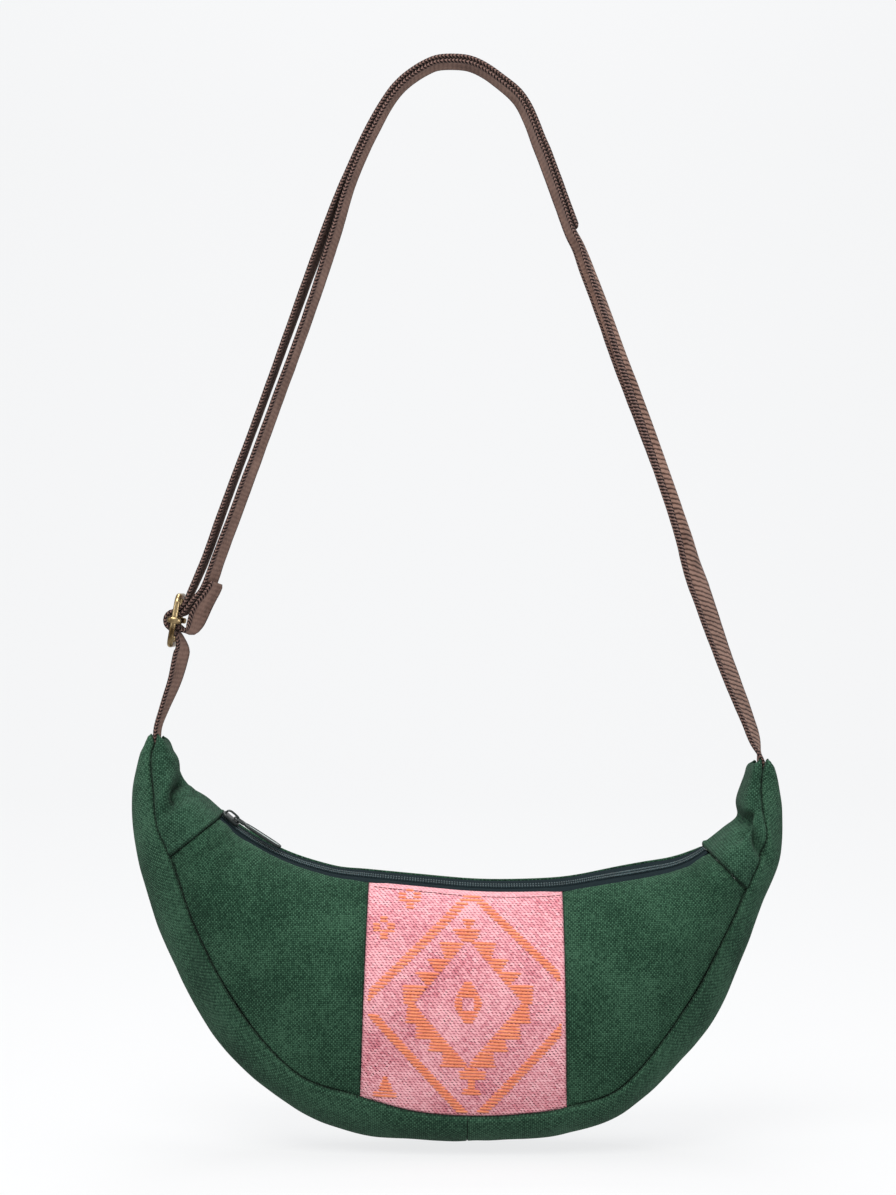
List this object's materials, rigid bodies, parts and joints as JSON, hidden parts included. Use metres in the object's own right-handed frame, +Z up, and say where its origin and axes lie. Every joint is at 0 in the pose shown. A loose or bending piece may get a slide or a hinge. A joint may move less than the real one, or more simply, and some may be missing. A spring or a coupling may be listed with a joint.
{
  "type": "half moon shoulder bag",
  "caption": "Half moon shoulder bag of green cloth with a pink woven front piece, a zip along the top and a webbing strap adjusted by a wire buckle.",
  "frame": {"origin": "the underside of the strap's crown, in the middle of its width, where the bag hangs", "axes": "+Z up along the hanging bag, +X towards the bag's right end as seen from the front, -Y out of the front with the woven piece"},
  "size_m": [0.3608, 0.078, 0.6029],
  "materials": {
    "green_cloth": "coarse plain weave, matt",
    "green_gusset": "coarse plain weave, matt",
    "green_horn": "coarse plain weave, matt",
    "pink_weave": "hand woven with an orange stepped diamond, matt",
    "zip_tape": "fine dark teal twill",
    "zip_coil": "moulded coil, satin",
    "dark_enamel": "dark glossy enamel",
    "brown_webbing": "ribbed cotton webbing with mottled edges",
    "antique_brass": "antique, lightly worn"
  },
  "bodies": {
    "bag": {"front_panel_left": "green_cloth", "front_panel_centre": "pink_weave", "front_panel_right": "green_cloth", "back_panel": "green_cloth", "gusset_left": "green_gusset", "gusset_right": "green_gusset", "horn_left": "green_horn", "horn_right": "green_horn", "zip_tape_front": "zip_tape", "zip_tape_back": "zip_tape", "zip_coil": "zip_coil", "zip_slider": "dark_enamel", "strap_main": "brown_webbing", "strap_tail": "brown_webbing", "buckle_frame": "antique_brass", "buckle_bar": "antique_brass"},
    "pull": {"zip_pull": "dark_enamel"}
  },
  "joints": [
    {"name": "pull_hinge", "type": "hinge", "parent": "bag", "child": "pull", "pos_m": [-0.1207, -0.0003, -0.4177], "axis": [-0.0625, -0.9954, -0.0723], "range_deg": [0, 120]}
  ]
}
